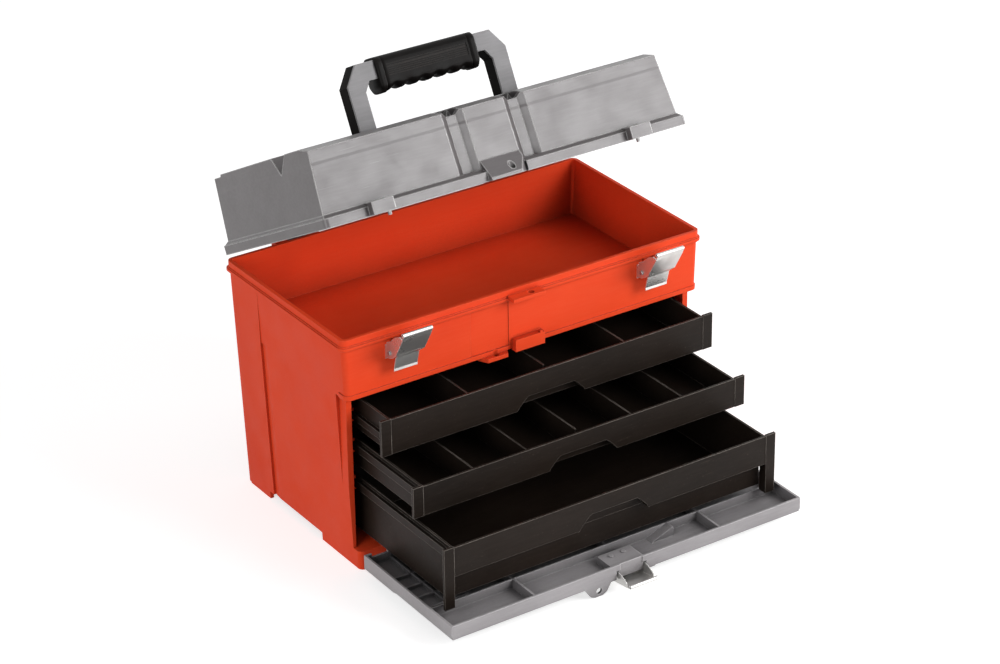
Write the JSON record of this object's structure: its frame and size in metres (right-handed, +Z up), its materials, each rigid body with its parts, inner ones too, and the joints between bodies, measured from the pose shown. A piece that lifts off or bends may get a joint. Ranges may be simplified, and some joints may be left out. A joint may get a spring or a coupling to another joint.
{
  "type": "portable tool box with drawers",
  "caption": "Portable tool box with a hinged lid, a fold-down carrying handle, divided pull-out drawers and a latched drop-down front panel, shown open.",
  "frame": {"origin": "on the standing surface under the middle of the body", "axes": "+X to the right seen from the front, +Y to the rear, +Z up; the drawers slide out along -Y"},
  "size_m": [0.457, 0.4809, 0.476],
  "materials": {
    "red_plastic": "satin",
    "grey_plastic": "satin",
    "black_plastic": "satin",
    "grip_rubber": "matte",
    "latch_chrome": "polished",
    "pin_steel": "satin"
  },
  "bodies": {
    "case": {"body": "red_plastic", "lid_hinge_pins": "pin_steel", "panel_hinge_pins": "pin_steel", "left_latch_base": "latch_chrome", "left_latch_pin": "pin_steel", "left_latch_rivets": "pin_steel", "right_latch_base": "latch_chrome", "right_latch_pin": "pin_steel", "right_latch_rivets": "pin_steel"},
    "lid": {"lid": "grey_plastic"},
    "handle": {"handle_frame": "black_plastic", "handle_face": "grey_plastic", "handle_grip": "grip_rubber", "handle_pins": "pin_steel"},
    "top_drawer": {"top_drawer": "black_plastic", "top_drawer_dividers": "black_plastic"},
    "middle_drawer": {"middle_drawer": "black_plastic", "middle_drawer_dividers": "black_plastic"},
    "bottom_drawer": {"bottom_drawer": "black_plastic"},
    "front_panel": {"front_panel": "grey_plastic", "panel_latch_base": "latch_chrome", "panel_latch_pin": "pin_steel", "panel_latch_rivets": "pin_steel"},
    "left_latch": {"left_latch_lever": "latch_chrome"},
    "right_latch": {"right_latch_lever": "latch_chrome"},
    "panel_latch": {"panel_latch_lever": "latch_chrome"}
  },
  "joints": [
    {"name": "lid_hinge", "type": "hinge", "parent": "case", "child": "lid", "pos_m": [0, 0.12425, 0.2732], "axis": [-1, 0, 0], "range_deg": [-28.13, 70]},
    {"name": "handle_fold", "type": "hinge", "parent": "lid", "child": "handle", "pos_m": [0, 0.04428, 0.39533], "axis": [1, 0, 0], "range_deg": [-90, 0]},
    {"name": "top_drawer_slide", "type": "slide", "parent": "case", "child": "top_drawer", "axis": [0, -1, 0], "range_m": [-0.0575, 0.1125]},
    {"name": "middle_drawer_slide", "type": "slide", "parent": "case", "child": "middle_drawer", "axis": [0, -1, 0], "range_m": [-0.1154, 0.0546]},
    {"name": "bottom_drawer_slide", "type": "slide", "parent": "case", "child": "bottom_drawer", "axis": [0, -1, 0], "range_m": [-0.1704, 0]},
    {"name": "panel_hinge", "type": "hinge", "parent": "case", "child": "front_panel", "pos_m": [0, -0.117, 0.01], "axis": [1, 0, 0], "range_deg": [-1.4, 0]},
    {"name": "left_latch_hinge", "type": "hinge", "parent": "case", "child": "left_latch", "pos_m": [-0.1586, -0.1269, 0.2488], "axis": [1, 0, 0], "range_deg": [-35.2, 0]},
    {"name": "right_latch_hinge", "type": "hinge", "parent": "case", "child": "right_latch", "pos_m": [0.1586, -0.1269, 0.2488], "axis": [1, 0, 0], "range_deg": [-35.2, 0]},
    {"name": "panel_latch_hinge", "type": "hinge", "parent": "front_panel", "child": "panel_latch", "pos_m": [0, -0.28601, 0.0161], "axis": [-1, 0, 0], "range_deg": [-15, 0]}
  ]
}
